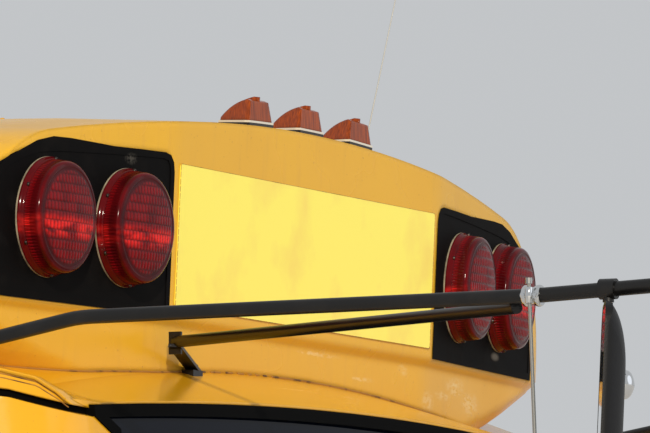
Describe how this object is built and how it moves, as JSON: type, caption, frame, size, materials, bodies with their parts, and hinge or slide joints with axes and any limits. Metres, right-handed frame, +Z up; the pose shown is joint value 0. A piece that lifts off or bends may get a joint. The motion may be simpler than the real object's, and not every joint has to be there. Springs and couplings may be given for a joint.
{
  "type": "school bus front end section",
  "caption": "Upper front end of a flat-front school bus: moulded cap with warning lamps, blank sign sheet, header shelf, windshield, corner posts, mirror arms and wipers.",
  "frame": {"origin": "centre of the cap's rear joint flange at the crown, where it meets the bus body", "axes": "+Y to the rear of the bus, square to the joint face; +Z up; +X to the bus's left"},
  "size_m": [2.6782, 1.4265, 1.9444],
  "materials": {
    "yellow_gelcoat": "glossy moulded glass-fibre cap in school bus yellow",
    "yellow_paint": "glossy yellow enamel on steel",
    "black_panel": "satin black, dusty",
    "red_lens": "clear red moulded lens",
    "cream_rubber": "pale gasket",
    "reflector": "bright metallised bowl",
    "amber_lens": "clear amber moulded lens",
    "white_plastic": "white moulded base",
    "reflective_sheet": "blank retroreflective yellow sheet",
    "glass": "tinted laminated glass",
    "rubber": "black extruded rubber",
    "black_steel": "satin black painted steel",
    "black_plastic": "grained black moulding",
    "mirror_glass": "mirror",
    "chrome": "polished chrome",
    "stainless": "drawn stainless rod",
    "antenna_steel": "stainless whip",
    "lining": "grey inner panel",
    "bow_steel": "grey primed steel hoop",
    "dash": "dark dash moulding"
  },
  "bodies": {
    "front_section": {"antenna": "antenna_steel", "arm_brace_left": "black_steel", "arm_brace_right": "black_steel", "arm_clamp_left": "chrome", "arm_clamp_right": "chrome", "arm_tube_left": "black_steel", "arm_tube_right": "black_steel", "brace_bracket_left": "black_steel", "brace_bracket_right": "black_steel", "cap_shell": "yellow_gelcoat", "clearance_feet": "white_plastic", "clearance_lens_1": "amber_lens", "clearance_lens_2": "amber_lens", "clearance_lens_3": "amber_lens", "corner_post_left": "yellow_paint", "corner_post_right": "yellow_paint", "cowl_panel": "yellow_paint", "dash_top": "dash", "drip_rails": "yellow_paint", "front_bow": "bow_steel", "head_collar_left": "black_steel", "head_collar_right": "black_steel", "header_shelf": "yellow_paint", "inner_lining": "lining", "joint_bands": "rubber", "lamp_bowls": "reflector", "lamp_panel_left": "black_panel", "lamp_panel_right": "black_panel", "lower_arm_left": "black_steel", "lower_arm_right": "black_steel", "sign_sheet": "reflective_sheet", "stay_rod_left": "stainless", "stay_rod_right": "stainless", "warning_gasket_1": "cream_rubber", "warning_gasket_2": "cream_rubber", "warning_gasket_3": "cream_rubber", "warning_gasket_4": "cream_rubber", "warning_lens_1": "red_lens", "warning_lens_2": "red_lens", "warning_lens_3": "red_lens", "warning_lens_4": "red_lens", "windshield_glass": "glass", "windshield_seal": "rubber", "wiper_spindle_left": "stainless", "wiper_spindle_right": "stainless"},
    "mirror_head_right": {"mirror_glass_right": "mirror_glass", "mirror_shell_right": "black_plastic"},
    "mirror_head_left": {"mirror_glass_left": "mirror_glass", "mirror_shell_left": "black_plastic"},
    "wiper_right": {"wiper_arm_right": "black_steel", "wiper_blade_right": "rubber"},
    "wiper_left": {"wiper_arm_left": "black_steel", "wiper_blade_left": "rubber"}
  },
  "joints": [
    {"name": "mirror_right_turn", "type": "hinge", "parent": "front_section", "child": "mirror_head_right", "pos_m": [-1.25, -1.353, -0.362], "axis": [0, 0, 1], "range_deg": [-30, 30]},
    {"name": "mirror_left_turn", "type": "hinge", "parent": "front_section", "child": "mirror_head_left", "pos_m": [1.25, -1.353, -0.362], "axis": [0, 0, -1], "range_deg": [-30, 30]},
    {"name": "wiper_right_sweep", "type": "hinge", "parent": "front_section", "child": "wiper_right", "pos_m": [-0.70505, -0.60011, -1.32272], "axis": [-0.0226, -0.99, 0.1391], "range_deg": [0, 80]},
    {"name": "wiper_left_sweep", "type": "hinge", "parent": "front_section", "child": "wiper_left", "pos_m": [0.70505, -0.60011, -1.32272], "axis": [-0.0226, 0.99, -0.1391], "range_deg": [0, 80]}
  ]
}
